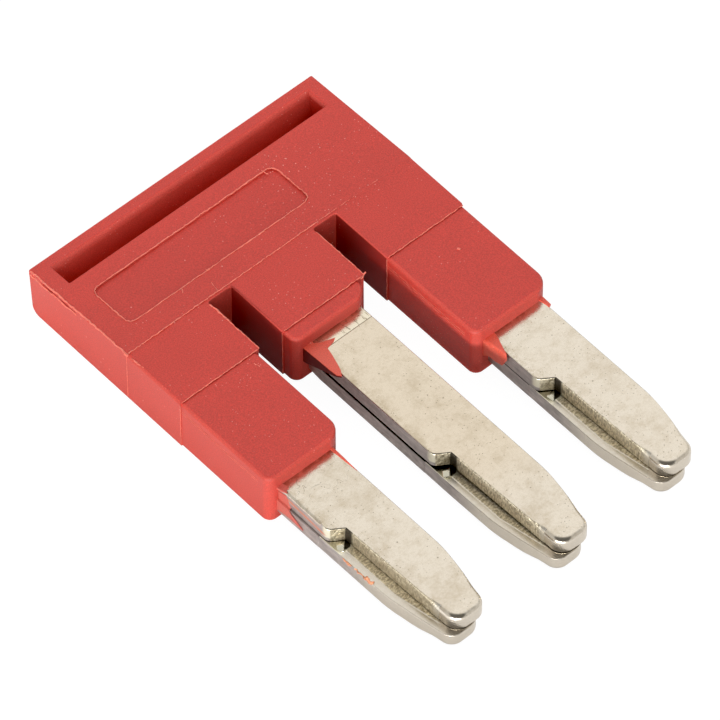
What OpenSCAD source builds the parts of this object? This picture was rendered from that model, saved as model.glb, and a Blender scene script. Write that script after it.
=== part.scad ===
// Plug-in jumper for terminal blocks: a moulded housing over two stacked contact combs.
// x runs across the blades, d runs from the back edge towards the blade tips, z is up.
// All sizes are in millimetres.

/* [Grid] */
// Distance between neighbouring blades
pitch = 5.2; // [4.8:0.1:8]
// Number of blades
poles = 3; // [3:1:8]

/* [Housing body] */
// Distance from an outer blade's centre to the housing's side
side_reach = 1.84; // [1.74:0.02:2.4]
// Length of the body, from the back edge to the foot of the noses
body_len = 8.63; // [8.2:0.05:14]
// Length of the front band, from the ridge line to the foot of the noses
band_len = 3.01; // [2.9:0.05:4]
// Height at the back edge
back_h = 2.36; // [2.2:0.02:3.5]
// Height at the ridge line
ridge_h = 2.66; // [2.5:0.02:4]
// Height at the foot of the noses
front_h = 2.60; // [2.4:0.02:4]
// Step down at the ridge line
ridge_step = 0.03; // [0.01:0.01:0.1]

/* [Slots] */
// Width of the slot between two teeth
slot_w = 1.14; // [0.6:0.02:1.4]
// Length of the slot inside the body
slot_len = 2.88; // [1.5:0.05:3.5]
// Radius of the slot's inner corners
slot_r = 0.15; // [0.05:0.01:0.28]

/* [Noses] */
// Length of an outer nose past the body
outer_nose_len = 4.87; // [2:0.05:8]
// Length of an inner nose past the body
inner_nose_len = 0.67; // [0.6:0.01:2]
// Step inwards from the housing's side to an outer nose
nose_side_step = 0.04; // [0.02:0.01:0.1]
// Step inwards from a slot's wall to the left side of a nose
nose_left_step = 0.05; // [0.02:0.01:0.3]
// Step inwards from a slot's wall to the right side of an outer nose
outer_right_step = 0.12; // [0.02:0.01:0.3]
// Step inwards from a slot's wall to the right side of an inner nose
inner_right_step = 0.26; // [0.02:0.01:0.3]
// Step down from the body's top to a nose
nose_top_step = 0.06; // [0.02:0.01:0.12]
// Rounding of the nose's upper left edge
nose_left_r = 0.46; // [0.1:0.01:0.5]
// Rounding of the nose's upper right edge
nose_right_r = 0.12; // [0.05:0.01:0.5]
// Rounding of the nose's upper front edge
nose_front_r = 0.36; // [0.1:0.01:0.4]
// Rounding of the nose's lower edges
nose_foot_r = 0.12; // [0.05:0.01:0.3]
// Rounding of the nose's front corners, seen from above
nose_corner_r = 0.62; // [0.2:0.01:0.8]

/* [Levering groove] */
// Wall between the groove and the housing's side
groove_side_wall = 0.70; // [0.4:0.02:1.5]
// Rim between the back edge and the groove
groove_rim = 0.62; // [0.4:0.02:0.8]
// Width of the groove at the top
groove_w = 0.94; // [0.7:0.02:1.1]
// Depth of the groove
groove_depth = 1.55; // [0.6:0.05:1.8]
// Lean of the groove's back wall, over its depth
groove_lean = 0.34; // [0.1:0.02:0.45]

/* [Marking recess] */
// Distance from the housing's side to the recess
recess_margin = 1.04; // [0.6:0.02:2]
// Length of the recess
recess_len = 8.97; // [4:0.01:10]
// Distance from the back edge to the recess
recess_from = 2.38; // [2.2:0.02:2.9]
// Width of the recess
recess_w = 2.22; // [1:0.02:2.4]
// Depth of the recess
recess_depth = 0.08; // [0.02:0.01:0.2]
// Radius of the recess's corners
recess_r = 0.30; // [0.1:0.02:0.48]

/* [Contact combs] */
// Thickness of one comb's sheet
leaf_t = 0.70; // [0.5:0.01:0.8]
// Gap between the two combs
leaf_gap = 0.06; // [0.02:0.01:0.1]
// Height of the lower comb's underside
contact_z = 0.42; // [0.3:0.01:0.5]
// Width of a blade
blade_w = 2.66; // [2.2:0.02:2.8]
// Length of a blade past the outer noses
blade_len = 8.80; // [7:0.05:12]
// Housing wall between the buried web and the groove, and the slots
web_wall = 0.60; // [0.3:0.02:0.8]

/* [Blade tips] */
// Length of the stepped part of a blade
step_len = 5.75; // [4:0.05:6.5]
// Step inwards on the blade's stepped side
step_w = 0.56; // [0.2:0.02:0.7]
// Run of the slanted shoulder
shoulder_run = 0.38; // [0.1:0.02:0.8]
// Radius of the shoulder's outer corner
shoulder_r = 0.30; // [0.1:0.01:0.35]
// Length of the taper on the blade's straight side
taper_len = 2.75; // [1.5:0.05:3.5]
// Taper inwards at the tip on the straight side
taper_w = 0.46; // [0.1:0.02:0.5]
// Taper inwards at the tip on the stepped side
step_taper_w = 0.16; // [0.02:0.01:0.2]
// Radius of the tip's corners
tip_r = 0.36; // [0.1:0.01:0.4]

/* [Hidden] */
$fn = 48;

// How far a cutting shape runs past the face that it cuts
over = 1;

// Places along d
ridge_d = body_len - band_len;
slot_d = body_len - slot_len;
inner_d = body_len + inner_nose_len;
outer_d = body_len + outer_nose_len;
tip_d = outer_d + blade_len;
shoulder_d = tip_d - step_len;
taper_d = tip_d - taper_len;
groove_d = groove_rim + groove_w;
web_d0 = groove_d + web_wall;
web_d1 = slot_d - web_wall;

// Places across x
outer_x = (poles - 1) / 2 * pitch;
side_x = outer_x + side_reach;
slot_wall_x = (pitch - slot_w) / 2;
nose_side_x = side_reach - nose_side_step;

// Heights
nose_h = front_h - nose_top_step;
stack_h = 2 * leaf_t + leaf_gap;
grip_angle = atan((ridge_h - back_h) / ridge_d);
groove_floor = back_h - groove_depth;

function blade_x(i) = i * pitch - outer_x;
function is_outer(i) = i == 0 || i == poles - 1;
function grip_h(d) = back_h + d * tan(grip_angle);

// Unit vector from one point towards another
function towards(a, b) = ([b.x, b.y] - [a.x, a.y]) / norm([b.x, b.y] - [a.x, a.y]);
// Half of the angle between the two edges that meet at corner c
function half_angle(a, c, b) = acos(towards(c, a) * towards(c, b)) / 2;
// Points where corner c, with its radius as third value, leaves its two edges
function corner_cut(a, c, b) =
    let(run = c.z / tan(half_angle(a, c, b)))
    c.z == 0
        ? [[c.x, c.y]]
        : [[c.x, c.y] + run * towards(c, a), [c.x, c.y] + run * towards(c, b)];
// Centre of the arc at corner c
function corner_centre(a, c, b) =
    let(middle = towards(c, a) + towards(c, b))
    [c.x, c.y] + middle / norm(middle) * c.z / sin(half_angle(a, c, b));

// Plate of thickness t through corners [x, y, radius], with round outward corners
module rounded_plate(corners, t) {
    n = len(corners);
    union() {
        linear_extrude(t)
            polygon([
                for (i = [0:n - 1])
                    each corner_cut(corners[(i + n - 1) % n], corners[i], corners[(i + 1) % n])
            ]);
        for (i = [0:n - 1])
            if (corners[i].z > 0)
                translate(corner_centre(corners[(i + n - 1) % n], corners[i], corners[(i + 1) % n]))
                    cylinder(r = corners[i].z, h = t);
    }
}

// Bar along x, from x0 to x1, with its corners given as [d, z, radius]
module bar_across(corners, x0, x1) {
    translate([x0, 0, 0])
        rotate([90, 0, 90])
            rounded_plate(corners, x1 - x0);
}

// Bar along d, from d0 to d1, with its corners given as [x, z, radius]
module bar_along(corners, d0, d1) {
    translate([0, d1, 0])
        rotate([90, 0, 0])
            rounded_plate(corners, d1 - d0);
}

// Puts a shape drawn with d forwards into the part's frame, blade tips towards -y
module placed() {
    translate([0, tip_d / 2, 0])
        mirror([0, 1, 0])
            children();
}

// Body: rises from the back edge to the ridge line, then falls a little to the noses
module body_block() {
    section = [
        [0, 0, 0],
        [body_len, 0, 0],
        [body_len, front_h, 0],
        [ridge_d, ridge_h - ridge_step, 0],
        [ridge_d, ridge_h, 0],
        [0, back_h, 0]
    ];
    bar_across(section, -side_x, side_x);
}

// Slot between two teeth, open at the front
module slot() {
    plan = [
        [-slot_w / 2, slot_d, slot_r],
        [slot_w / 2, slot_d, slot_r],
        [slot_w / 2, body_len + over, 0],
        [-slot_w / 2, body_len + over, 0]
    ];
    translate([0, 0, -over])
        rounded_plate(plan, ridge_h + 2 * over);
}

// Nose round a blade's root: where its section, its side view and its plan all agree
module nose(x0, x1, d1) {
    d0 = body_len - slot_len / 2;
    section = [
        [x0, 0, nose_foot_r],
        [x1, 0, nose_foot_r],
        [x1, nose_h, nose_right_r],
        [x0, nose_h, nose_left_r]
    ];
    side_view = [
        [d0, 0, 0],
        [d1, 0, nose_foot_r],
        [d1, nose_h, nose_front_r],
        [d0, nose_h, 0]
    ];
    plan = [
        [x0, d0, 0],
        [x1, d0, 0],
        [x1, d1, nose_corner_r],
        [x0, d1, nose_corner_r]
    ];
    intersection() {
        bar_along(section, d0, d1);
        bar_across(side_view, x0, x1);
        rounded_plate(plan, nose_h);
    }
}

// Nose of one blade: the outer ones are longer and reach further out on their outer side
module nose_of(i) {
    right_step = is_outer(i) ? outer_right_step : inner_right_step;
    x0 = i == 0 ? -nose_side_x : nose_left_step - slot_wall_x;
    x1 = i == poles - 1 ? nose_side_x : slot_wall_x - right_step;
    translate([blade_x(i), 0, 0])
        nose(x0, x1, is_outer(i) ? outer_d : inner_d);
}

// Groove for the tip of a screwdriver, with a leaning back wall
module levering_groove() {
    lean = groove_lean / groove_depth;
    section = [
        [groove_rim - over * lean, back_h + over, 0],
        [groove_d, back_h + over, 0],
        [groove_d, groove_floor, 0],
        [groove_rim + groove_lean, groove_floor, 0]
    ];
    bar_across(section, -side_x + groove_side_wall, side_x - groove_side_wall);
}

// Shallow recess for a marker, level with the sloping grip
module marking_recess() {
    plan = [
        [0, 0, recess_r],
        [recess_len, 0, recess_r],
        [recess_len, recess_w, recess_r],
        [0, recess_w, recess_r]
    ];
    translate([-side_x + recess_margin, recess_from, grip_h(recess_from)])
        rotate([grip_angle, 0, 0])
            translate([0, 0, -recess_depth])
                rounded_plate(plan, over);
}

// Web that joins the blades inside the housing, of thickness t
module web(t) {
    translate([-outer_x - blade_w / 2, web_d0, 0])
        cube([2 * outer_x + blade_w, web_d1 - web_d0, t]);
}

// Room in the housing for both combs: their web and the roots of their blades
module contact_room() {
    translate([0, 0, contact_z]) {
        web(stack_h);
        for (i = [0:poles - 1])
            translate([blade_x(i) - blade_w / 2, web_d0, 0])
                cube([blade_w, outer_d + over - web_d0, stack_h]);
    }
}

// One blade: stepped on its -x side, tapered on its +x side, round at the tip
module blade() {
    half = blade_w / 2;
    plan = [
        [-half, web_d0, 0],
        [-half, shoulder_d - shoulder_run, shoulder_r],
        [-half + step_w, shoulder_d, 0],
        [-half + step_w + step_taper_w, tip_d, tip_r],
        [half - taper_w, tip_d, tip_r],
        [half, taper_d, 0],
        [half, web_d0, 0]
    ];
    rounded_plate(plan, leaf_t);
}

// Stamped comb, as it is cut from sheet
module comb() {
    union() {
        web(leaf_t);
        for (i = [0:poles - 1])
            translate([blade_x(i), 0, 0])
                blade();
    }
}

module housing() {
    color([0.78, 0.31, 0.28])
        placed()
            difference() {
                union() {
                    difference() {
                        body_block();
                        for (i = [0:poles - 2])
                            translate([blade_x(i) + pitch / 2, 0, 0])
                                slot();
                    }
                    for (i = [0:poles - 1])
                        nose_of(i);
                }
                levering_groove();
                marking_recess();
                contact_room();
            }
}

module upper_comb() {
    color([0.84, 0.80, 0.72])
        placed()
            translate([0, 0, contact_z + leaf_t + leaf_gap])
                comb();
}

// The same comb turned over about the line of its middle
module lower_comb() {
    color([0.76, 0.73, 0.67])
        placed()
            translate([0, 0, contact_z + leaf_t])
                rotate([0, 180, 0])
                    comb();
}

housing();
upper_comb();
lower_comb();
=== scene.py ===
# %% [markdown]
# # A plug-in jumper for terminal blocks
# A small red plastic body holds two stamped metal combs, one turned over on the other, whose blades
# bridge three neighbouring terminals. The CAD solids give every size and place. This lesson dresses them:
# it models the moulded body and the stamped combs again with the soft edges, mould lines and flash of the
# real thing, gives them their finishes, and sets up the camera and the light.

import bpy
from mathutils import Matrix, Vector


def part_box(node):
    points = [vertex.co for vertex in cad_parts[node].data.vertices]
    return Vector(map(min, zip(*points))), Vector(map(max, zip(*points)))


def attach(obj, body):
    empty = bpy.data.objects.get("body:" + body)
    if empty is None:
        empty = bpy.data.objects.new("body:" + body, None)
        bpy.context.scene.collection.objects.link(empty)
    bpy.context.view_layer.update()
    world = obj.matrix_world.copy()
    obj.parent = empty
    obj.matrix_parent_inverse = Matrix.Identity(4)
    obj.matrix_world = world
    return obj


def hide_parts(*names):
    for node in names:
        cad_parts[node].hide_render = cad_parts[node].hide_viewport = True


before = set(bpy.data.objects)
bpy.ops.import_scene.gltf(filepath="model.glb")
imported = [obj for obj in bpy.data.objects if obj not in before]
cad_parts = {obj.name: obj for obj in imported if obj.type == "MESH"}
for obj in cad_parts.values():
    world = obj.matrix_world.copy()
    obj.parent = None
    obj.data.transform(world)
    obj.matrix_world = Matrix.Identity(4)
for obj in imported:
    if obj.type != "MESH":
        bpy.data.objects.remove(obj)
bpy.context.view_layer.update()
print("CAD nodes:", sorted(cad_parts))

# %% [markdown]
# ## Sizes
# The part is only 22 mm long, and many of Blender's tools have tolerances made for room-sized things. So
# the pieces are modelled on a bench where one unit is a millimetre, and each is brought down to metres
# when it is finished. The boxes of the CAD nodes give the main sizes. The rest are the mould's own sizes,
# measured from the back edge towards the blade tips.

# %% Sizes from the frame, in millimetres
import math

import bmesh
import bpy
from mathutils import Vector

MM = 0.001
X, Y, Z = 0, 1, 2


def node_box(name):
    """Lowest and highest corner of a CAD node, in millimetres."""
    return [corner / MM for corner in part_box(name)]


shell_low, shell_high = node_box("housing")
upper_low, upper_high = node_box("upper_comb")
lower_low, lower_high = node_box("lower_comb")
half_width = shell_high.x
back_y = shell_high.y
ridge_top = shell_high.z
outer_nose_y = shell_low.y
tip_y = upper_low.y
print("body", [round(x, 2) for x in shell_high - shell_low], "blade tips at", round(tip_y, 2))


def along(distance):
    """The y of a place that lies so far from the back edge, towards the blade tips."""
    return back_y - distance


pitch = 5.2
blade_places = [-pitch, 0.0, pitch]
slot_places = [-pitch / 2, pitch / 2]
line_one = along(5.62)
line_two = along(8.63)
slot_end = along(5.75)
inner_nose_y = along(9.30)
back_top = 2.36
front_top = 2.60
nose_top = 2.54

# %% [markdown]
# ## Camera
# The view is the one that a product photographer takes of a small part: a long lens, from the front left
# and half above. The lens is so long that parallel edges stay nearly parallel.

# %% Camera
view_azimuth = math.radians(-41.48)
view_elevation = math.radians(52.40)
view_roll = math.radians(-0.30)
view_distance = 324.71 * MM
view_target = Vector((-0.11, 0.35, 1.33)) * MM
lens_mm = 437.6

towards_camera = Vector((
    math.sin(view_azimuth) * math.cos(view_elevation),
    -math.cos(view_azimuth) * math.cos(view_elevation),
    math.sin(view_elevation),
))
camera_data = bpy.data.cameras.new("camera")
camera_data.lens = lens_mm
camera_data.sensor_width = 36
camera_data.clip_start = 0.01
camera = bpy.data.objects.new("camera", camera_data)
bpy.context.scene.collection.objects.link(camera)
camera.location = view_target + towards_camera * view_distance
camera.rotation_mode = "QUATERNION"
camera.rotation_quaternion = (-towards_camera).to_track_quat("-Z", "Y")
camera.rotation_mode = "XYZ"
camera.rotation_euler.rotate_axis("Z", view_roll)
bpy.context.scene.camera = camera
print("camera at", [round(x / MM, 1) for x in camera.location])

# %% [markdown]
# ## Shader maths
# A finish is written as sums. One small class wraps a node's output, so that adding, multiplying or
# comparing them adds a Math node, and one method makes every other node: its kind, inputs and settings.


# %% Shader maths
class Wire:
    """One output of a node. Sums, products and comparisons add Math nodes to their tree."""

    def __init__(self, tree, socket=None):
        self.tree = tree
        self.socket = socket

    def node(self, kind, inputs=None, output=0, **settings):
        made = self.tree.nodes.new("ShaderNode" + kind)
        for name, value in settings.items():
            setattr(made, name, value)
        for name, value in (inputs or {}).items():
            if isinstance(value, Wire):
                self.tree.links.new(value.socket, made.inputs[name])
            else:
                made.inputs[name].default_value = value
        if not made.outputs:
            return None
        return Wire(self.tree, made.outputs[output])

    def maths(self, operation, first, second=0.0):
        return self.node("Math", {0: first, 1: second}, operation=operation)

    def __add__(self, other):
        return self.maths("ADD", self, other)

    def __sub__(self, other):
        return self.maths("SUBTRACT", self, other)

    def __mul__(self, other):
        return self.maths("MULTIPLY", self, other)

    def __rsub__(self, other):
        return self.maths("SUBTRACT", other, self)

    def __lt__(self, other):
        return self.maths("LESS_THAN", self, other)

    def __abs__(self):
        return self.maths("ABSOLUTE", self)

    __radd__ = __add__
    __rmul__ = __mul__

    def between(self, low, high):
        """0 below low, 1 above high and smooth between; low above high turns it round."""
        inputs = {"Value": self, "From Min": low, "From Max": high}
        return self.node("MapRange", inputs, interpolation_type="SMOOTHSTEP")

    def mix(self, first, second):
        """Colour first where this wire is 0, second where it is 1."""
        return self.node("Mix", {0: self, 6: first, 7: second}, output=2, data_type="RGBA")

    def bump(self, strength, distance):
        """The normal of a surface with this relief, so many millimetres high."""
        return self.node("Bump", {"Strength": strength, "Distance": distance * MM, "Height": self})


def new_finish(name):
    """A new material, its pen, and the place on the piece in millimetres."""
    material = bpy.data.materials.new(name)
    material.use_nodes = True
    material.node_tree.nodes.clear()
    pen = Wire(material.node_tree)
    metres = pen.node("TexCoord", output="Object")
    place = pen.node("VectorMath", {0: metres, "Scale": 1 / MM}, operation="SCALE")
    return material, pen, place


def noise(place, per_mm, detail=3.0, rough=0.5):
    """Soft noise around 0.5, with so many lumps to a millimetre."""
    inputs = {"Vector": place, "Scale": per_mm, "Detail": detail, "Roughness": rough}
    return place.node("TexNoise", inputs)


def dots(place, per_mm, radius, share):
    """1 on small round dots, in only that share of the cells."""
    inputs = {"Vector": place, "Scale": per_mm}
    cells = place.node("TexVoronoi", inputs, feature="F1")
    colours = place.node("TexVoronoi", inputs, output=1, feature="F1")
    chance = place.node("SeparateColor", {0: colours})
    return (cells < radius * per_mm) * (chance < share)


def stretched(place, x, y, z):
    """The place with its axes multiplied, for grain that runs one way."""
    return place.node("VectorMath", {0: place, 1: (x, y, z)}, operation="MULTIPLY")


def colour(tone, share=1.0):
    """A tone as the nodes take it, made darker or lighter by a share."""
    return (*[share * c for c in tone], 1.0)


print("shader maths ready")

# %% [markdown]
# ## Red plastic
# The body is injection-moulded polyamide with a fine matt texture. Light enters the plastic a little, so
# the edges glow. The colour is nearly even: the detail is a fine grain, a slight cloudiness, and pale
# specks of dust and abraded points, which lie in loose clusters. Painted light is laid over it: the grip
# grows a little lighter towards the back edge, the faces turned to the left and the front and the rounded
# top edges are paler with a painted sheen, and the walls deep in the slots are darker with painted shade.
# Thin flash lets more light through, so it is paler, and small dabs of it are amber. The beads of the
# mould lines are paler still, which paints on the highlight they catch. The thin dark lines below some
# beads and the shadowed side of the middle tongue are painted shadow.

# %% Red plastic
SPECK_TONE = (0.86, 0.42, 0.36)


def axes(place):
    """The x, y and z of a place."""
    return [place.node("SeparateXYZ", {0: place}, output=axis) for axis in (X, Y, Z)]


def red_plastic(name, base, rough, grain, fineness=21.0):
    """Moulded red plastic; grain is how strong its texture is, fineness how many grains are in 1 mm."""
    material, pen, place = new_finish(name)
    clouds = noise(place, 0.5) - 0.5
    fine = noise(place, fineness, 2.0, 0.6)
    x, y = axes(place)[:2]
    scuffed = x.between(0.6, 2.4) * x.between(5.6, 3.8) * y.between(4.4, 5.6) * y.between(9.6, 8.0)
    clusters = noise(place, 0.45, 2.0).between(0.48, 0.64) + scuffed
    specks = clusters * dots(place, 6.0, 0.022, 0.7) + 0.9 * dots(place, 2.4, 0.032, 0.14)
    # painted light: the colour grows a little lighter from the ridge line to the back edge
    painted_light_at_back = y.between(line_one, back_y)
    shade = 0.5 + 0.28 * clouds + 1.7 * grain * (fine - 0.5) + 0.13 * painted_light_at_back
    tint = shade.mix(colour(base, 0.7), colour(base, 1.3))
    tint = (0.42 * specks).mix(tint, colour(SPECK_TONE))
    height = fine + 0.4 * noise(place, 2.0) + 0.5 * specks
    shader = pen.node("BsdfPrincipled", {
        "Base Color": tint,
        "Roughness": rough + 0.16 * (fine - 0.5),
        "Normal": height.bump(0.25, 0.02),
        "IOR": 1.42,
        "Sheen Weight": 0.05,
        "Sheen Roughness": 0.45,
        "Subsurface Weight": 0.12,
        "Subsurface Radius": (1.0, 0.18, 0.12),
        "Subsurface Scale": 0.12 * MM,
    })
    pen.node("OutputMaterial", {"Surface": shader})
    return material


shell_red = red_plastic("shell_red", (0.55, 0.043, 0.028), 0.46, 1.0)
recess_red = red_plastic("recess_red", (0.53, 0.041, 0.027), 0.50, 0.9, 17.0)
side_sheen_red = red_plastic("side_sheen_red", (0.55, 0.066, 0.048), 0.50, 0.9)
slot_shade_red = red_plastic("slot_shade_red", (0.30, 0.016, 0.011), 0.50, 0.8)
shadow_line_red = red_plastic("shadow_line_red", (0.34, 0.024, 0.016), 0.50, 0.6)
flash_red = red_plastic("flash_red", (0.70, 0.105, 0.065), 0.42, 0.8)
flash_shade_red = red_plastic("flash_shade_red", (0.13, 0.008, 0.006), 0.55, 0.8)
flash_film = red_plastic("flash_film", (0.60, 0.125, 0.095), 0.45, 0.8)
flash_amber = red_plastic("flash_amber", (0.80, 0.34, 0.18), 0.45, 0.8)
pale_flash_and_highlight = red_plastic("pale_flash_and_highlight", (0.78, 0.185, 0.13), 0.42, 0.6)
print("red finishes:", len(bpy.data.materials))

# %% [markdown]
# ## Plated metal
# The combs are stamped from copper sheet and nickel plated. The rolled faces are satin and warm, with
# brown mottling and tiny pits, and a dark brown band of dirt and painted shade where they meet the noses.
# The sheared walls are greyer and rough, painted lighter on the left blade, with a painted glint at each
# shoulder. The walls of the step, where the punch tore the metal, are dark, with painted glints and a
# painted shadow at the shoulder. The bared ledge has a painted glint and a painted shadow before each
# shoulder. Towards the tips the walls are coined smooth and bright. The faces between the leaves and
# the far top bevels of the blades are painted near black as shade.

# %% Plated faces
FACE_TONE = (0.75, 0.675, 0.56)
WARM_TONE = (0.70, 0.58, 0.42)
FACE_STAIN = (0.50, 0.41, 0.285)
POLISHED_TONE = (0.86, 0.79, 0.62)
WALL_TONE = (0.51, 0.45, 0.42)
TORN_LIGHT = (0.90, 0.81, 0.62)
TORN_DARK = (0.42, 0.35, 0.235)
LEDGE_TONE = (0.72, 0.67, 0.58)
SHADOW_TONE = (0.03, 0.025, 0.022)
PAINTED_GLINT_TONE = (0.95, 0.90, 0.70)
SMEAR_TONE = (0.60, 0.20, 0.11)
METAL_SHADE_TONE = (0.02, 0.017, 0.014)
DIRT_AND_SHADE_TONE = (0.20, 0.13, 0.065)
PIT_TONE = (0.14, 0.11, 0.07)
shoulder_start = along(16.17)
shoulder_end = along(16.55)
seat_line = along(9.875)
taper_start = along(19.55)
taper_width = 0.46
tip_row = tip_y + 0.80
smear_height = 1.62
smear_rise = 0.07


def metal(pen, base, rough, bump, film=0.0):
    """A metal surface of varying colour and roughness; film is where plastic covers it."""
    inputs = {"Base Color": base, "Metallic": 1.0 - film, "Roughness": rough, "Normal": bump}
    pen.node("OutputMaterial", {"Surface": pen.node("BsdfPrincipled", inputs)})


def across_blade(x):
    """How far x lies from the middle line of its own blade."""
    return x.maths("FLOORED_MODULO", x + 1.5 * pitch, pitch) - pitch / 2


def plated_faces():
    """The rolled faces: mottled, pitted, dirty and painted with shade at the noses, and polished on the
    middle blade's seat.
    """
    material, pen, place = new_finish("plated_faces")
    clouds = noise(place, 0.7, 4.0, 0.6).between(0.42, 0.72)
    mottle = noise(place, 2.2, 6.0, 0.7).between(0.42, 0.68)
    fine = noise(place, 9.0, 4.0, 0.75)
    fields = noise(place, 0.6, 2.0).between(0.36, 0.58)
    pits = fields * dots(place, 7.0, 0.020, 0.8) + dots(place, 3.0, 0.028, 0.18)
    x, y = axes(place)[:2]
    on_middle = abs(x) < pitch / 2
    line = on_middle * (abs(y - seat_line) < 0.014)
    seat = on_middle * y.between(seat_line, seat_line + 0.03)
    across = across_blade(x)
    ragged = noise(place, 2.4, 5.0, 0.7).between(0.40, 0.60)
    worn = across.between(-0.85, -1.30) * ragged
    # dirt and painted shade: a dark brown band on the metal where it meets the noses
    at_outer = y.between(outer_nose_y - 0.24, outer_nose_y - 0.02)
    at_inner = y.between(inner_nose_y - 0.18, inner_nose_y - 0.02)
    dirt_and_shade = (at_outer + on_middle * (at_inner - at_outer)) * ragged
    ticks = seat * noise(stretched(place, 8.0, 1.6, 1.0), 1.0, 3.0).between(0.57, 0.63)
    ridge = abs(noise(place, 1.1, 3.0) - 0.5)
    cracks = (ridge < 0.005) * x.between(-pitch / 2, -pitch / 2 - 1) * ragged
    cracks = cracks * y.between(outer_nose_y - 2.2, outer_nose_y - 1.2)
    shade = 0.35 * clouds + 0.30 * mottle + 0.55 * worn + 0.9 * (fine - 0.5)
    tint = shade.mix(colour(FACE_TONE), colour(FACE_STAIN))
    warm = shade.mix(colour(WARM_TONE), colour(FACE_STAIN))
    tint = (0.5 * on_middle * y.between(tip_y + 2, tip_y + 5)).mix(tint, warm)
    tint = (0.7 * seat).mix(tint, colour(POLISHED_TONE))
    tint = pen.maths("MAXIMUM", 0.6 * dirt_and_shade, 0.6 * ticks).mix(tint, colour(DIRT_AND_SHADE_TONE))
    marks = pen.maths("MAXIMUM", 0.75 * pits, 0.85 * line)
    tint = pen.maths("MAXIMUM", marks, 0.55 * cracks).mix(tint, colour(PIT_TONE))
    height = fine + 0.6 * mottle - 1.2 * pits - line
    bump = height.bump(0.22, 0.012)
    metal(pen, tint, 0.11 + 0.14 * fine, bump)
    return material


# %% Cut walls
def sheared_walls():
    """The punched walls: a smear of plastic on the left blade, painted light on the left blade's walls and
    a painted glint at each shoulder.
    """
    material, pen, place = new_finish("sheared_walls")
    x, y, z = axes(place)
    streaks = noise(stretched(place, 6.0, 0.9, 7.0), 1.0, 4.0, 0.6)
    blots = noise(place, 2.5, 5.0, 0.65)
    coined = y.between(shoulder_end - 0.5, shoulder_end - 2.6)
    on_left = x.between(-pitch - 1.1, -pitch - 1.25)
    height = abs(z - smear_height - smear_rise * (y - outer_nose_y))
    smear = on_left * height.between(0.11, 0.02) * streaks.between(0.36, 0.50)
    smear = smear * y.between(shoulder_start, shoulder_start + 0.3) * z.between(1.17, 1.22)
    # painted highlight: a bright square on the wall at each shoulder
    painted_glint = y.between(shoulder_start + 0.34, shoulder_start + 0.14) * z.between(1.30, 1.40)
    across = across_blade(x)
    painted_glint = painted_glint * y.between(shoulder_end, shoulder_end + 0.1) * (across < 0)
    # painted light: the left blade's walls are made lighter than the others
    shade = 0.32 + 0.18 * on_left + 1.6 * (streaks - 0.5) + 1.4 * (blots - 0.5)
    grey = shade.mix(colour(WALL_TONE, 0.68), colour(WALL_TONE, 1.32))
    tint = (0.85 * coined).mix(grey, colour(FACE_TONE))
    tint = (0.8 * painted_glint).mix(tint, colour(PAINTED_GLINT_TONE))
    tint = smear.mix(tint, colour(SMEAR_TONE))
    bump = (streaks + blots).bump(0.4, 0.02)
    metal(pen, tint, 0.44 - 0.18 * coined, bump, smear)
    return material


def torn_walls():
    """The walls of the step: light and dark crumbs with painted glints, a painted shadow by the shoulder,
    and smooth again at the tip.
    """
    material, pen, place = new_finish("torn_walls")
    x, y = axes(place)[:2]
    crumbs = noise(stretched(place, 4.0, 13.0, 5.0), 1.0, 4.0, 0.7)
    light = crumbs.between(0.38, 0.60)
    # painted highlights: bright sparkles along the torn walls, and a little on the shoulder face
    painted_glints = noise(place, 13.0, 2.0).between(0.64, 0.70) * y.between(tip_y + 1.5, tip_y + 4.5)
    on_shoulder = y.between(shoulder_end, shoulder_end + 0.03)
    corner = (1 - on_shoulder) * y.between(shoulder_end - 0.42, shoulder_end - 0.26)
    coined = y.between(tip_row + 0.5, tip_row + 0.05)
    tint = light.mix(colour(TORN_DARK), colour(TORN_LIGHT))
    tint = (0.5 * x.between(1 - pitch, -pitch)).mix(tint, colour(TORN_DARK))
    tint = pen.maths("MAXIMUM", painted_glints, 0.20 * on_shoulder * light).mix(tint, colour(PAINTED_GLINT_TONE))
    tint = (0.85 * coined).mix(tint, colour(LEDGE_TONE))
    tint = (0.92 * corner).mix(tint, colour(SHADOW_TONE))
    height = crumbs * (1 - coined)
    bump = height.bump(0.9, 0.06)
    metal(pen, tint, 0.34 + 0.12 * light, bump)
    return material


def ledge_faces():
    """The part of the lower leaf that the step of the upper one lays bare."""
    material, pen, place = new_finish("ledge_faces")
    x, y = axes(place)[:2]
    across = across_blade(x)
    crumbs = noise(stretched(place, 7.0, 12.0, 1.0), 1.0, 4.0, 0.7)
    light = crumbs.between(0.38, 0.62)
    inward = pen.maths("MAXIMUM", taper_start - y, 0) * (taper_width / (taper_start - tip_y))
    at_wall = (across - inward).between(-1.07, -1.00)
    bare = y.between(tip_row - 0.35, tip_row + 0.15) * y.between(shoulder_end + 0.04, shoulder_end - 0.02)
    torn = at_wall * bare
    slant = across - y + shoulder_end
    hollow = slant.between(-0.82, -0.77) * slant.between(-0.45, -0.50)
    hollow = hollow * y.between(shoulder_end - 0.36, shoulder_end - 0.31)
    # painted highlight: a bright facet on the ledge just before each shoulder
    painted_facet = y.between(shoulder_end - 0.50, shoulder_end - 0.30)
    smooth = (0.5 * noise(place, 4.0, 4.0, 0.6)).mix(colour(LEDGE_TONE), colour(FACE_STAIN))
    rough = light.mix(colour(TORN_DARK), colour(TORN_LIGHT))
    tint = torn.mix(smooth, rough)
    tint = (0.8 * painted_facet).mix(tint, colour(PAINTED_GLINT_TONE))
    tint = (0.95 * hollow).mix(tint, colour(SHADOW_TONE))
    bump = (crumbs * torn).bump(0.7, 0.05)
    metal(pen, tint, 0.24 + 0.10 * torn, bump)
    return material


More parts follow.
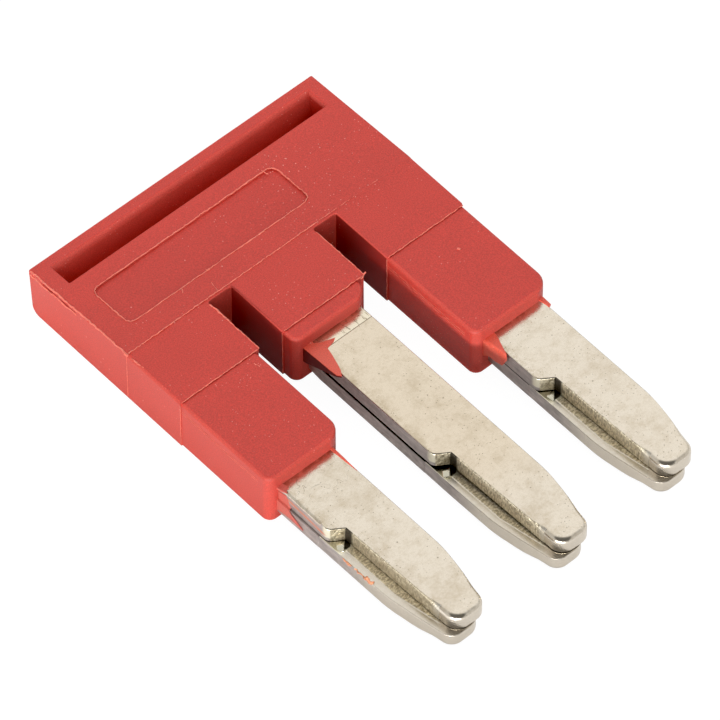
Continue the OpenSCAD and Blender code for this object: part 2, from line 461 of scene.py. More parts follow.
def metal_shade_faces():
    """The faces that the leaves turn to each other, and the far top bevels, painted near black as shade."""
    material, pen, place = new_finish("metal_shade_faces")
    cloud = noise(place, 3.0)
    tint = cloud.mix(colour(METAL_SHADE_TONE, 0.7), colour(METAL_SHADE_TONE, 1.3))
    bump = cloud.bump(0.3, 0.02)
    metal(pen, tint, 0.6 + 0.2 * cloud, bump)
    return material


comb_finishes = [plated_faces(), sheared_walls(), torn_walls(), metal_shade_faces(), ledge_faces()]
FACE, WALL, TORN, METAL_SHADE, LEDGE = range(5)
print("finishes:", [m.name for m in comb_finishes])

# %% [markdown]
# ## The bench
# Modelling by operators means always knowing what is selected. These few helpers do what a hand does with
# the mouse: take one piece, pick some of its points, edges or faces by their place, move them, cut, round
# or carve.


# %% Bench helpers
TINY = 1e-4
sharp_turn = 50


def near(a, b, slack=1e-3):
    return abs(a - b) < slack


def lies(a, b, axis, place, slack=0.02):
    """Whether an edge lies at one place on an axis."""
    return near(a[axis], place, slack) and near(b[axis], place, slack)


def take(piece):
    """Leaves edit mode and makes one piece the active and only selected one."""
    if bpy.context.mode != "OBJECT":
        bpy.ops.object.mode_set(mode="OBJECT")
    bpy.ops.object.select_all(action="DESELECT")
    if piece:
        piece.select_set(True)
        bpy.context.view_layer.objects.active = piece


def placed(piece):
    """Applies a piece's place, turn and scale to its mesh."""
    take(piece)
    bpy.ops.object.transform_apply(location=True, rotation=True, scale=True)
    return piece


def block(name, low, high):
    """A cube with these corners."""
    take(None)
    middle = [(a + b) / 2 for a, b in zip(low, high)]
    size = [b - a for a, b in zip(low, high)]
    bpy.ops.mesh.primitive_cube_add(size=1, location=middle, scale=size)
    bpy.context.object.name = name
    return placed(bpy.context.object)


def edit(piece, kind):
    """Opens a piece in edit mode with nothing selected, and returns its mesh."""
    take(piece)
    bpy.ops.object.mode_set(mode="EDIT")
    bpy.ops.mesh.select_mode(type=kind)
    bpy.ops.mesh.select_all(action="DESELECT")
    return bmesh.from_edit_mesh(piece.data)


def whole(piece, kind="FACE"):
    """Opens a piece in edit mode with everything selected."""
    edit(piece, kind)
    bpy.ops.mesh.select_all(action="SELECT")


def pick(piece, kind, wanted, sharper=0):
    """Selects points by wanted(point), faces by wanted(middle, normal) or edges by wanted(a, b).

    With sharper, only edges that turn by more degrees than that are selected.
    """
    mesh = edit(piece, kind)
    if kind == "VERT":
        found = [v for v in mesh.verts if wanted(v.co)]
    elif kind == "EDGE":
        found = [e for e in mesh.edges if wanted(e.verts[0].co, e.verts[1].co)]
        found = [e for e in found if not sharper or e.calc_face_angle(0) > math.radians(sharper)]
    else:
        found = [f for f in mesh.faces if wanted(f.calc_center_median(), f.normal)]
    for part in found:
        part.select_set(True)
    mesh.select_flush_mode()
    bmesh.update_edit_mesh(piece.data)
    return len(found)


def move(piece, wanted, offset):
    pick(piece, "VERT", wanted)
    bpy.ops.transform.translate(value=offset)


def turn(piece, wanted, angle, axis, centre):
    pick(piece, "VERT", wanted)
    bpy.ops.transform.rotate(value=angle, orient_axis=axis, center_override=centre)


def slice_at(piece, axis, *places):
    """Cuts a piece's faces by planes across one axis."""
    normal = Vector((0, 0, 0))
    normal[axis] = 1
    for place in places:
        whole(piece)
        bpy.ops.mesh.bisect(plane_co=normal * place, plane_no=normal, threshold=TINY)


def rounded(piece, radius, segments, wanted):
    """Rounds the picked edges."""
    pick(piece, "EDGE", wanted)
    bpy.ops.mesh.bevel(offset=radius, segments=segments, affect="EDGES", clamp_overlap=False)


def modified(piece, kind, **settings):
    """Adds a modifier, sets it and applies it."""
    take(piece)
    bpy.ops.object.modifier_add(type=kind)
    modifier = piece.modifiers[-1]
    for name, value in settings.items():
        setattr(modifier, name, value)
    bpy.ops.object.modifier_apply(modifier=modifier.name)


def carve(piece, tool, operation="DIFFERENCE"):
    """Cuts a tool out of a piece, or joins it to the piece, and clears the tool away."""
    modified(piece, "BOOLEAN", operation=operation, solver="EXACT", object=tool)
    take(tool)
    bpy.ops.object.delete()


def weigh(piece, share, wanted, sharper=0):
    """Sets how much of the bevel's width the picked edges get, from 0 to 1."""
    count = pick(piece, "EDGE", wanted, sharper)
    bpy.ops.transform.edge_bevelweight(value=-1)
    bpy.ops.transform.edge_bevelweight(value=share)
    return count


def round_weighed(piece, width, segments, slide=True):
    """Bevels the weighed edges."""
    modified(piece, "BEVEL", limit_method="WEIGHT", width=width, segments=segments, loop_slide=slide,
             use_clamp_overlap=False)


def round_sharp(piece, width, segments):
    """Bevels every edge that turns sharply."""
    angle = math.radians(sharp_turn)
    modified(piece, "BEVEL", limit_method="ANGLE", angle_limit=angle, width=width, segments=segments)


def smoothed(piece, degrees=40):
    """Shades a piece smooth between its sharp edges, and lets its large faces set the shading."""
    take(piece)
    bpy.ops.object.shade_smooth_by_angle(angle=math.radians(degrees))
    modified(piece, "WEIGHTED_NORMAL", mode="FACE_AREA", weight=60, keep_sharp=True)


def cleaned(piece):
    """Merges doubles, drops needless edges on flat faces and turns the faces outwards."""
    whole(piece)
    bpy.ops.mesh.remove_doubles(threshold=TINY)
    bpy.ops.mesh.dissolve_limited(angle_limit=math.radians(0.2))
    bpy.ops.mesh.select_all(action="SELECT")
    bpy.ops.mesh.normals_make_consistent(inside=False)
    take(piece)


def dressed(piece, *finishes):
    """Gives a piece its finishes, which are numbered from 0."""
    for finish in finishes:
        piece.data.materials.append(finish)
    return piece


def paint(piece, number, wanted):
    """Gives the picked faces one of the piece's finishes."""
    count = pick(piece, "FACE", wanted)
    piece.active_material_index = number
    bpy.ops.object.material_slot_assign()
    return count


def finished(piece, slot, *nodes):
    """Brings a piece from the bench to the part: metres and body, and hides the CAD nodes named. The slot
    is not used.
    """
    piece.scale = (MM, MM, MM)
    placed(piece)
    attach(piece, "root")
    if nodes:
        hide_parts(*nodes)
    print(piece.name, len(piece.data.polygons), "faces")


print("bench ready")

# %% [markdown]
# ## Housing: the body
# The body is one moulding. Seen from the side it rises from the back edge to a ridge line and falls a
# little towards the noses. It could be extruded from its side view, but a block that is sliced at the
# ridge and has its top edges moved keeps the cuts where the mould inserts met. Two slots part the three
# teeth. A screwdriver levers the jumper out by the long groove near the back edge, whose back wall leans.
# The shallow recess takes a marker, and is bare here.

# %% Body with its slots
step_run = 0.08
ridge_step = 0.03
slot_half = 0.57
slot_corner = 0.08
back_lean = 0.14
back_rise = 0.05
back_foot_round = 0.40
grip_back = back_top + back_rise
half_up = 1.0
beyond = 1.0
RECESS, SIDE_SHEEN, SLOT_SHADE = 1, 2, 3

shell = block("housing_shell", (-half_width, line_two, 0), (half_width, back_y, ridge_top))
dressed(shell, shell_red, recess_red, side_sheen_red, slot_shade_red)
slice_at(shell, Y, line_one, line_one - step_run)
for row, drop in (
    (back_y, ridge_top - grip_back),
    (line_one - step_run, ridge_step),
    (line_two, ridge_top - front_top),
):
    move(shell, lambda p: p.z > half_up and near(p.y, row), (0, 0, -drop))
move(shell, lambda p: p.z < half_up and near(p.y, back_y), (0, -back_lean, 0))
rounded(shell, back_foot_round, 6, lambda a, b: max(a.z, b.z) < TINY and min(a.y, b.y) > back_y - 1)
for x in slot_places:
    low = (x - slot_half, line_two - beyond, -beyond)
    tool = block("slot", low, (x + slot_half, slot_end, ridge_top + beyond))
    rounded(tool, slot_corner, 3, lambda a, b: lies(a, b, Y, slot_end) and near(a.x, b.x))
    carve(shell, tool)
print("body", len(shell.data.polygons), "faces")

# %% Groove and recess
groove_half = half_width - 0.70
groove_back = along(0.62)
groove_front = along(1.56)
groove_floor = 0.81
groove_lean = 0.34
recess_left = -half_width + 1.04
recess_right = recess_left + 8.97
recess_back = along(2.38)
recess_front = along(4.60)
recess_depth = 0.08
recess_corner = 0.30


def grip_height(y):
    """Height of the sloping grip at y."""
    return grip_back + (ridge_top - grip_back) * (back_y - y) / (back_y - line_one)


low = (-groove_half, groove_front, groove_floor)
tool = block("groove", low, (groove_half, groove_back, back_top + beyond))
lean = groove_lean / (back_top - groove_floor)
move(tool, lambda p: near(p.y, groove_back) and p.z < half_up, (0, -groove_lean, 0))
move(tool, lambda p: near(p.y, groove_back) and p.z > half_up, (0, beyond * lean, 0))
carve(shell, tool)

floor_back = grip_height(recess_back) - recess_depth
floor_front = grip_height(recess_front) - recess_depth
low = (recess_left, recess_front, floor_back)
tool = block("recess", low, (recess_right, recess_back, ridge_top + beyond))
move(tool, lambda p: near(p.y, recess_front) and near(p.z, floor_back), (0, 0, floor_front - floor_back))
rounded(tool, recess_corner, 6, lambda a, b: near(a.x, b.x) and near(a.y, b.y))
carve(shell, tool)
cleaned(shell)
print("groove and recess", len(shell.data.polygons), "faces")

# %% [markdown]
# ## Housing: edges
# Every edge of a moulding is a little round, and each by its own amount: the groove's rim rolls over
# softly, the grip's outer edges are worn, and the slots' edges are crisp on one side, where the mould
# parted. Bevel weights give each edge its own radius in one bevel.

# %% Rounded edges
full_round = 0.50
edge_turn = 28
top_zone = 2.2


def is_top(p):
    return p.z > top_zone


def is_foot(p):
    return near(p.z, 0)


edge_radii = {
    "all edges": (0.03, lambda a, b: True),
    "left edge of the grip": (0.05, lambda a, b: is_top(a) and is_top(b) and lies(a, b, X, -half_width)),
    "left edge of the band": (0.15, lambda a, b: is_top(a) and is_top(b) and lies(a, b, X, -half_width)
                              and max(a.y, b.y) < line_one + TINY),
    "right edge": (0.05, lambda a, b: is_top(a) and is_top(b) and lies(a, b, X, half_width)),
    "back edge": (0.10, lambda a, b: is_top(a) and lies(a, b, Y, back_y) and not near(a.x, b.x)),
    "back corners": (0.06, lambda a, b: min(a.y, b.y) > back_y - 0.6 and near(a.x, b.x)
                     and min(a.z, b.z) < half_up),
    "far front corner": (0.16, lambda a, b: lies(a, b, X, half_width) and lies(a, b, Y, line_two)),
    "feet of the sides": (0.06, lambda a, b: is_foot(a) and is_foot(b) and near(abs(a.x), half_width)
                          and near(a.x, b.x)),
    "groove rim": (0.26, lambda a, b: is_top(a) and lies(a, b, Y, groove_back)),
    "groove far end": (0.16, lambda a, b: is_top(a) and is_top(b) and lies(a, b, X, groove_half)),
    "slot far walls": (0.07, lambda a, b: is_top(a) and is_top(b) and any(
        lies(a, b, X, x + slot_half) for x in slot_places)),
}
for name, (radius, wanted) in edge_radii.items():
    print(name, weigh(shell, radius / full_round, wanted, edge_turn), "edges")

in_recess = paint(shell, RECESS, lambda m, n: n.z > 0.9 and 2 < m.z < grip_height(m.y) - recess_depth / 2
                  and recess_left < m.x < recess_right and recess_front < m.y < recess_back)
round_weighed(shell, full_round, 5)
print("recess floor", in_recess, "face, rounded body", len(shell.data.polygons), "faces")

# %% [markdown]
# ## Housing: the noses
# Each tooth ends in a nose that wraps the root of its blade. The outer noses are long and the middle one
# is short. They lead the part into its sockets, so their upright front corners are rounded first, the far
# ones broadly, and then the outline above and below.

# %% Noses
nose_side_step = 0.04
nose_left_step = 0.05
outer_right_step = 0.15
inner_right_step = 0.30
near_corner = 0.38
far_corner = 0.70
nose_round = 0.15
nose_foot_round = 0.10
nose_overlap = 1.4
side_reach = half_width - pitch
slot_reach = pitch / 2 - slot_half


def nose(left, right, front):
    """A nose between its two sides, with its front face at front."""
    rear = line_two + nose_overlap
    piece = block("nose", (left, front, 0), (right, rear, nose_top))
    for side, radius in ((left, near_corner), (right, far_corner)):
        rounded(piece, radius, 8, lambda a, b: lies(a, b, X, side, TINY) and lies(a, b, Y, front, TINY))
    weigh(piece, nose_foot_round / nose_round, lambda a, b: is_foot(a) and is_foot(b))
    weigh(piece, 1, lambda a, b: is_top(a) and is_top(b))
    weigh(piece, 0, lambda a, b: lies(a, b, Y, rear))
    round_weighed(piece, nose_round, 5)
    return piece


for x in blade_places:
    left = x - side_reach + nose_side_step if x < 0 else x - slot_reach + nose_left_step
    right_step = outer_right_step if x else inner_right_step
    right = x + side_reach - nose_side_step if x > 0 else x + slot_reach - right_step
    carve(shell, nose(left, right, outer_nose_y if x else inner_nose_y), "UNION")
print("body and noses", len(shell.data.polygons), "faces")

# %% [markdown]
# Inside, the two combs fill a room of their own. Then come the finishes that depend on where a face
# looks, which are painted light: a paler one with a painted sheen on the faces turned to the left and the
# front and on the rounded top edges, and a darker one with painted shade on the walls of the slots.

# %% Room for the combs
web_back = upper_high.y
web_front = along(5.15)
blade_half = 1.33
web_half = pitch + blade_half
room_low, room_high = lower_low.z, upper_high.z
carve(shell, block("web_room", (-web_half, web_front, room_low), (web_half, web_back, room_high)))
for x in blade_places:
    low = (x - blade_half, outer_nose_y - beyond, room_low)
    carve(shell, block("blade_room", low, (x + blade_half, web_front + TINY, room_high)))
left_zone = near_corner + nose_side_step - half_width


def in_slot(p):
    return line_two < p.y < slot_end and any(abs(p.x - x) < slot_half + 0.02 for x in slot_places)


# painted sheen: faces turned to the left and the front, and the rounded top edges, get the paler red
paint(shell, SIDE_SHEEN, lambda m, n: n.x < -0.4 and n.z < 0.6 and m.x < left_zone)
paint(shell, SIDE_SHEEN, lambda m, n: n.y < -0.4)
paint(shell, SIDE_SHEEN, lambda m, n: is_top(m) and n.z < 0.9 and min(n.x, n.y) < -0.15)
# painted shade: the walls of the slots get the darker red
paint(shell, SLOT_SHADE, lambda m, n: abs(n.x) > 0.9 and in_slot(m))
smoothed(shell)
finished(shell, "housing_plastic", "housing")

# %% [markdown]
# ## Combs
# A comb is punched from sheet: a web with three blades, each stepped on one side and tapered on the
# other. One blade is drawn out of a small plane row by row, its corners are rounded, and it is copied to
# its three places on a flat web. Only then does the sheet get its thickness. The second comb is a copy,
# turned over.

# %% One blade, flat
step_width = 0.56
step_taper = 0.16
tip_reach = 0.12
near_tip_cut = 0.58
far_tip_cut = 0.46
shoulder_cut = 0.16
taper_cut = 0.40


def sheet(name, low, high):
    """A flat rectangle at the underside of the upper comb."""
    take(None)
    bpy.ops.mesh.primitive_plane_add(size=1)
    piece = bpy.context.object
    piece.name = name
    piece.location = ((low[X] + high[X]) / 2, (low[Y] + high[Y]) / 2, upper_low.z)
    piece.scale = (high[X] - low[X], high[Y] - low[Y], 1)
    return placed(piece)


def round_points(piece, cut, segments, wanted):
    pick(piece, "VERT", wanted)
    bpy.ops.mesh.bevel(offset=cut, segments=segments, affect="VERTICES", clamp_overlap=False)


blade = sheet("blade", (-blade_half, shoulder_start), (blade_half, web_front))
step_share = (shoulder_end - taper_start) / (shoulder_end - tip_y)
row = shoulder_start
for y, stepped, tapered in (
    (shoulder_end, step_width, 0),
    (taper_start, step_taper * step_share, 0),
    (tip_y - tip_reach, step_taper * (1 - step_share), -taper_width),
):
    pick(blade, "EDGE", lambda a, b: near(a.y, row) and near(b.y, row))
    bpy.ops.mesh.extrude_region_move(TRANSFORM_OT_translate={"value": (0, y - row, 0)})
    move(blade, lambda p: near(p.y, y) and p.x < 0, (stepped, 0, 0))
    move(blade, lambda p: near(p.y, y) and p.x > 0, (tapered, 0, 0))
    row = y
cleaned(blade)
round_points(blade, near_tip_cut, 10, lambda p: near(p.y, tip_y - tip_reach) and p.x < 0)
round_points(blade, far_tip_cut, 8, lambda p: near(p.y, tip_y - tip_reach) and p.x > 0.5)
round_points(blade, shoulder_cut, 5, lambda p: near(p.y, shoulder_start) and p.x < 0)
round_points(blade, taper_cut, 4, lambda p: near(p.y, taper_start) and p.x > 0)
print("blade outline", len(blade.data.vertices), "points")

# %% Two combs
leaf = upper_high.z - upper_low.z
spring_root = inner_nose_y - 0.6
turn_height = (upper_high.z + lower_low.z) / 2
upright = 0.5


def copied(piece, name, offset):
    take(piece)
    bpy.ops.object.duplicate()
    bpy.context.object.name = name
    bpy.ops.transform.translate(value=offset)
    return placed(bpy.context.object)


def joined(name, pieces):
    take(pieces[0])
    for piece in pieces[1:]:
        piece.select_set(True)
    bpy.ops.object.join()
    bpy.context.object.name = name
    return bpy.context.object


web = sheet("web", (-web_half, web_front), (web_half, web_back))
slice_at(web, X, *[x + side for x in blade_places for side in (-blade_half, blade_half)][1:-1])
blades = [copied(blade, "blade_copy", (x, 0, 0)) for x in blade_places]
take(blade)
bpy.ops.object.delete()
upper = joined("upper_leaf", [web, *blades])
cleaned(upper)
dressed(upper, *comb_finishes)
whole(upper)
bpy.ops.mesh.extrude_region_move(TRANSFORM_OT_translate={"value": (0, 0, leaf)})
cleaned(upper)
shoulder_row = shoulder_start + 0.4
bend_row = shoulder_end - 0.5
taper_row = taper_start + 0.7
blade_rows = (
    web_front - 0.2, inner_nose_y, spring_root,
    shoulder_row + 0.06, shoulder_row, shoulder_row - 0.06,
    bend_row, taper_row,
    tip_row + 1.4, tip_row + 1.0, tip_row + 0.6, tip_row,
)
slice_at(upper, Y, *blade_rows)
paint(upper, WALL, lambda m, n: abs(n.z) < upright)
paint(upper, TORN, lambda m, n: abs(n.z) < upright and n.x < -0.3 and tip_row < m.y < shoulder_start - 0.05)

lower = copied(upper, "lower_leaf", (0, 0, 0))
turn(lower, lambda p: True, math.pi, "Y", (0, 0, turn_height))
print("combs", [len(p.data.polygons) for p in (upper, lower)], "faces")

# %% [markdown]
# No two blades are quite alike. The middle blade's lower leaf stands off and bends back until it closes
# at the tip, the right one's does so a little, and the left blade's leaves lie out of line. The outer
# edges are softened by the punch, the inner ones stay crisp, and the tips are coined round, so that they
# find their way into the socket. The lower leaves are bent after their edges are rounded. One cut just
# behind the tips keeps their soft shading from spreading along the leaves.

# %% Sprung leaves and soft edges
spread = 0.14
closing = 0.0258
turning = 0.010
close_gap = 0.035
right_gap = 0.03
right_closing = 0.0075
upper_shift = 0.03
lower_shift = -0.06
lower_reach = 0.06
tip_guard = 0.05
move(lower, lambda p: abs(p.x) < pitch / 2 and p.y < spring_root + TINY, (0, 0, -spread))
move(lower, lambda p: p.y < spring_root + TINY, (0, 0, close_gap))
move(lower, lambda p: p.x > pitch / 2 and p.y < spring_root + TINY, (0, 0, -right_gap))
for comb, shift in ((upper, upper_shift), (lower, lower_shift)):
    move(comb, lambda p: p.x < -pitch / 2 and p.y < spring_root + TINY, (shift, 0, 0))
move(lower, lambda p: p.y < tip_row + 1.0 + TINY, (0, -lower_reach, 0))
paint(lower, LEDGE, lambda m, n: n.z > upright)
paint(lower, WALL, lambda m, n: n.z > upright and m.x < -pitch / 2 and m.y > shoulder_row)
# painted shade: the underside of the upper leaf, turned to the lower one, gets the near-black finish
paint(upper, METAL_SHADE, lambda m, n: n.z < -upright)
comb_round = 0.28
comb_turn = 40
inside = 0.2
hinge = (0, bend_row, lower_high.z)


def is_torn_edge(a, b):
    """Edges on the stepped side of the upper leaf, from the shoulder to the tip."""
    ends = [(p.x + pitch * 1.5) % pitch - pitch / 2 for p in (a, b)]
    return max(a.y, b.y) < shoulder_row + TINY and max(ends) < 0


def is_worn_edge(a, b):
    """The near edge of the left blade, from its nose to the shoulder."""
    on_left = max(a.x, b.x) < -pitch - 1
    return on_left and max(a.y, b.y) < spring_root + TINY and min(a.y, b.y) > shoulder_row - TINY


for comb, node, outer_z, inner_z in (
    (upper, "upper_comb", upper_high.z, upper_low.z),
    (lower, "lower_comb", lower_low.z, lower_high.z),
):
    def outer(a, b):
        return near(a.z, outer_z, inside) and near(b.z, outer_z, inside)

    def inner(a, b):
        return near(a.z, inner_z, inside) and near(b.z, inner_z, inside)

    comb_radii = {
        "outer edges": (0.05, outer),
        "worn edge": (0.16, lambda a, b: comb is upper and outer(a, b) and is_worn_edge(a, b)),
        "bare edges of the ledge": (0.04, lambda a, b: comb is lower and inner(a, b)
                                    and max(a.y, b.y) < shoulder_row + TINY),
        "torn edges": (0.07, lambda a, b: outer(a, b) and is_torn_edge(a, b)),
        "before the tips": (0.09, lambda a, b: outer(a, b) and max(a.y, b.y) < tip_row + 0.6 + TINY),
        "round the tips": (0.25, lambda a, b: outer(a, b) and max(a.y, b.y) < tip_row + TINY),
        "inside the tips": (0.03, lambda a, b: inner(a, b) and max(a.y, b.y) < tip_row + TINY),
    }
    for radius, wanted in comb_radii.values():
        weigh(comb, radius / comb_round, wanted, comb_turn)
    round_weighed(comb, comb_round, 5, slide=False)
    slice_at(comb, Y, tip_row + tip_guard)
    # painted shade: the far top bevels back from the taper get the near-black finish, a dark line along the
    # edge
    paint(comb, METAL_SHADE, lambda m, n: n.x > 0.5 and n.z > 0.3 and m.y > taper_start)
    paint(comb, TORN, lambda m, n: comb is upper and n.x < -0.15 and 0.1 < n.z < 0.93
          and tip_row + tip_guard < m.y < shoulder_end)
    paint(comb, FACE, lambda m, n: comb is upper and n.x < -0.1 and 0.35 < n.z < 0.99
          and m.x < -pitch - 1 and m.y > shoulder_row)
    if comb is lower:
        turn(comb, lambda p: abs(p.x) < pitch / 2 and p.y < bend_row + TINY, closing, "X", hinge)
        turn(comb, lambda p: p.x > pitch / 2 and p.y < bend_row + TINY, right_closing, "X", hinge)
        left_hinge = (-pitch, outer_nose_y, 0)
        turn(comb, lambda p: p.x < -pitch / 2 and p.y < spring_root + TINY, -turning, "Z", left_hinge)
    smoothed(comb)
    finished(comb, "plated_metal", node)

# %% [markdown]
# ## Mould lines
# Where the parts of the mould met, molten plastic crept into the seams and left thin beads. A bead is a
# chain of edges, turned into a thin round wire and then shaken, so that its thickness is as uneven as the
# real one.

# %% Beads
bead_step = 0.11
bead_wander = 0.35


def chain(name, points):
    """Edges through the points: one corner of a plane, extruded from point to point."""
    take(None)
    bpy.ops.mesh.primitive_plane_add(size=2)
    piece = bpy.context.object
    piece.name = name
    pick(piece, "VERT", lambda p: p.x + p.y < 1)
    bpy.ops.mesh.delete(type="VERT")
    bpy.ops.mesh.select_all(action="SELECT")
    bpy.ops.transform.translate(value=Vector(points[0]) - Vector((1, 1, 0)))
    for start, end in zip(points, points[1:]):
        bpy.ops.mesh.extrude_vertices_move(TRANSFORM_OT_translate={"value": Vector(end) - Vector(start)})
    return piece


def bead(points, thick, lump, seed):
    """A thin wire through the points, which strays a little and gets lumps."""
    piece = chain("bead", points)
    for start, end in zip(points, points[1:]):
        cuts = int((Vector(end) - Vector(start)).length / bead_step)
        if cuts:
            middle = (Vector(start) + Vector(end)) / 2
            pick(piece, "EDGE", lambda a, b: ((a + b) / 2 - middle).length < TINY * 10)
            bpy.ops.mesh.subdivide(number_cuts=cuts)
    whole(piece, "VERT")
    bpy.ops.transform.vertex_random(offset=bead_wander * thick, uniform=1.0, normal=0.0, seed=seed)
    take(piece)
    bpy.ops.object.convert(target="CURVE")
    wire = bpy.context.object
    wire.data.bevel_depth = thick / 2
    wire.data.bevel_resolution = 1
    wire.data.use_fill_caps = True
    bpy.ops.object.convert(target="MESH")
    wire = bpy.context.object
    whole(wire, "VERT")
    bpy.ops.transform.vertex_random(offset=lump, uniform=1.0, normal=0.0, seed=seed)
    take(wire)
    bpy.ops.object.shade_smooth()
    return wire


left_side = -half_width
slot_sides = [(x - slot_half, x + slot_half) for x in slot_places]
teeth = [
    (left_side, slot_sides[0][0]),
    (slot_sides[0][1], slot_sides[1][0]),
    (slot_sides[1][1], half_width),
]


def straight(start, end, thick, lump, seed):
    return bead([start, end], thick, lump, seed)


grip_line = line_one - 0.01
ridge_seam = ridge_top - 0.005
band_seam = front_top - 0.02
left_slot, right_slot = slot_places
ridge_points = [
    (left_side + 0.08, grip_line, ridge_seam),
    (left_slot, grip_line, ridge_seam),
    (right_slot, grip_line, ridge_seam),
    (half_width - 1.6, grip_line, ridge_seam - 0.02),
]
lines = []
for number, (thick, lump) in enumerate(((0.042, 0.016), (0.034, 0.012), (0.026, 0.012))):
    lines.append(straight(ridge_points[number], ridge_points[number + 1], thick, lump, 1 + number))
for number, (x0, x1) in enumerate(teeth):
    start = (x0 + 0.1, line_two, band_seam)
    lines.append(straight(start, (x1 - 0.06, line_two, band_seam), 0.036, 0.012, 10 + number))
for number, (x, y, top) in enumerate((
    (left_side, line_one, ridge_top),
    (left_side, line_two, front_top),
    (slot_sides[0][1], line_two, front_top),
    (slot_sides[1][1], line_two, front_top),
)):
    lines.append(straight((x, y, 0.08), (x, y, top - 0.1), 0.024, 0.008, 20 + number))
print("mould lines:", len(lines), "beads")

# %% [markdown]
# The same beads outline the recess, where its insert met the cavity, and run along the worn edges of the
# grip and the slots and along the sides of the outer noses.

# %% Rims and parting lines
rim_turn = 0.3 * recess_corner


def on_grip(x, y, lift=0.0):
    return (x, y, grip_height(y) + lift)


rim_points = []
for x, y, turn_x, turn_y in (
    (recess_left, recess_back, 1, -1),
    (recess_right, recess_back, -1, -1),
    (recess_right, recess_front, -1, 1),
    (recess_left, recess_front, 1, 1),
):
    corner = [
        on_grip(x, y + recess_corner * turn_y),
        on_grip(x + rim_turn * turn_x, y + rim_turn * turn_y),
        on_grip(x + recess_corner * turn_x, y),
    ]
    rim_points += corner if turn_x * turn_y < 0 else corner[::-1]
worn_edge = left_side + 0.02
side_drop = -0.21
side_start = on_grip(left_side, back_y - 0.06, side_drop)
side_end = on_grip(left_side, along(2.75), side_drop)
edge_one, edge_two = slot_sides[0][0], slot_sides[1][0]
slot_rim = ridge_top - 0.03
frayed_end = (edge_one, slot_end - 1.2, 2.63)
rims = [
    bead([*rim_points, rim_points[0]], 0.042, 0.014, 31),
    straight(on_grip(worn_edge, back_y - 0.1), on_grip(worn_edge, line_one), 0.060, 0.014, 32),
    straight(side_start, side_end, 0.070, 0.014, 33),
    straight((edge_one, slot_end - 0.15, slot_rim), frayed_end, 0.06, 0.03, 35),
    straight(frayed_end, (edge_one, line_two, front_top), 0.035, 0.015, 36),
    straight((edge_two, slot_end - 0.2, slot_rim), (edge_two, line_two, front_top), 0.03, 0.010, 37),
]
nose_left = {-pitch: left_side + nose_side_step, pitch: slot_sides[1][1] + nose_left_step}
for number, (x, z) in enumerate(((-pitch, 2.12), (-pitch, 2.02), (pitch, 2.10), (pitch, 1.98))):
    start = (nose_left[x], line_two, z)
    rims.append(straight(start, (nose_left[x], outer_nose_y + 0.6, z), 0.016, 0.006, 38 + number))
print("rims:", len(rims), "beads")

# %% [markdown]
# Handling leaves its own marks: a spur at the corner of the middle tooth, burrs on the rim of the recess,
# a few scratches and a stuck grain of plastic.

# %% Small marks
marks = [
    bead([(1.80, 2.43, 2.59), (1.98, 2.50, 2.61), (2.10, 2.51, 2.65)], 0.06, 0.015, 61),
    straight((5.45, 1.12, nose_top - 0.01), (5.51, 1.06, nose_top - 0.01), 0.09, 0.02, 62),
    straight(on_grip(-3.57, 6.34), on_grip(-3.46, 6.54), 0.035, 0.012, 63),
    straight(on_grip(-2.22, 6.57), on_grip(-2.06, 6.50), 0.060, 0.020, 64),
    straight(on_grip(2.50, 8.84), on_grip(2.57, 8.52), 0.035, 0.010, 65),
    straight(on_grip(-2.48, 5.99), on_grip(-2.56, 5.56), 0.022, 0.006, 66),
    straight((-3.75, 2.14, nose_top), (-3.68, 1.89, nose_top), 0.026, 0.008, 67),
    straight((left_side, 5.60, ridge_top - 0.02), (left_side + 0.02, 5.42, ridge_top - 0.03),
             0.09, 0.02, 68),
    straight((left_side + 0.06, 5.30, 2.60), (left_side + 0.08, 4.60, 2.58), 0.05, 0.025, 69),
    straight((6.25, back_y - 0.06, back_top - 0.02), (6.98, back_y - 0.05, back_top - 0.01),
             0.07, 0.02, 70),
]
mould_lines = joined("mould_lines", [*lines, *rims, *marks])
# the beads are real flash; their pale red also paints on the highlight they catch
finished(dressed(mould_lines, pale_flash_and_highlight), "housing_plastic")

# %% [markdown]
# Below some of the beads a thin dark line of shadow is painted on, as a finer, darker bead.

# %% Painted shadow lines
shadow_line_y = line_two - 0.030
shadow_line_z = front_top - 0.040
shadow_lines = [
    straight(on_grip(left_side, along(0.9), -0.13), on_grip(left_side, along(2.7), -0.14), 0.05, 0.015, 81),
]
for number, (x0, x1) in enumerate(teeth):
    start = (x0 + 0.12, shadow_line_y, shadow_line_z)
    shadow_lines.append(straight(start, (x1 - 0.12, shadow_line_y, shadow_line_z), 0.020, 0.006, 82 + number))
finished(dressed(joined("painted_shadow_lines", shadow_lines), shadow_line_red), "housing_plastic")

# %% [markdown]
# ## Flash on the blades
# Where a blade leaves its nose, plastic leaked along the metal and set as thin tongues. Each is a flat
# outline, filled and given depth, whose underside rises towards its tip. The right tongue also folds down
# over the edge of its blade.

# %% Tongues
thinning = 0.85
tongue_soft = 0.025
film = 0.03
root_in = 0.12
tongue_top = upper_high.z + film
root_y = outer_nose_y + root_in
right_fold = 3.76
right_falls = [(3.62, -2.65, 0.05), (3.65, -3.00, 0.24), (3.70, -3.30, 0.40), (right_fold, -3.50, 0.12)]
FLASH_SHADE = 1


def slab(name, points, depth):
    """A flat outline through the points, filled and given depth."""
    piece = chain(name, [*points, points[0]])
    whole(piece, "VERT")
    bpy.ops.mesh.remove_doubles(threshold=TINY)
    bpy.ops.mesh.select_all(action="SELECT")
    bpy.ops.mesh.edge_face_add()
    bpy.ops.mesh.extrude_region_move(TRANSFORM_OT_translate={"value": depth})
    return piece


